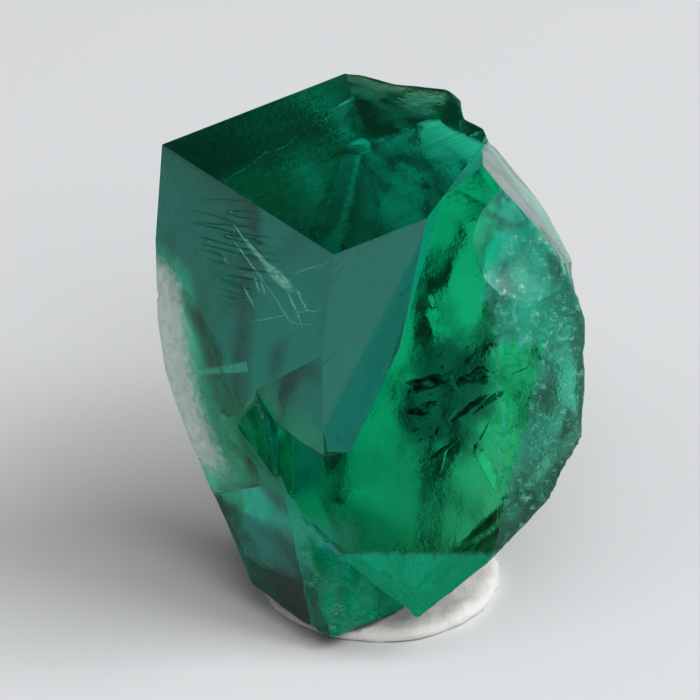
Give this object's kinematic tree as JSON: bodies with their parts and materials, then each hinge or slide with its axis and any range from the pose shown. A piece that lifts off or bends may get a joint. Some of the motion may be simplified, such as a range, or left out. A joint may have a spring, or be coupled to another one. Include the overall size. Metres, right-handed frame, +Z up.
{
  "type": "fluorite twin crystal specimen",
  "caption": "Penetration twin of clear deep green fluorite cubes with broken sides, standing on a flattened pad of white mounting putty",
  "frame": {"origin": "middle of the underside of the putty pad, on the surface it stands on", "axes": "+Z up; the twin's big front face looks along -Y; +X to the viewer's right"},
  "size_m": [0.0274, 0.0239, 0.0307],
  "materials": {
    "fluorite": "clear deep green crystal, flat faces bright, broken sides frosted",
    "putty": "white mounting putty, slightly waxy, pressed flat"
  },
  "bodies": {
    "root": {"fluorite_twin": "fluorite", "putty_pad": "putty"}
  },
  "joints": []
}
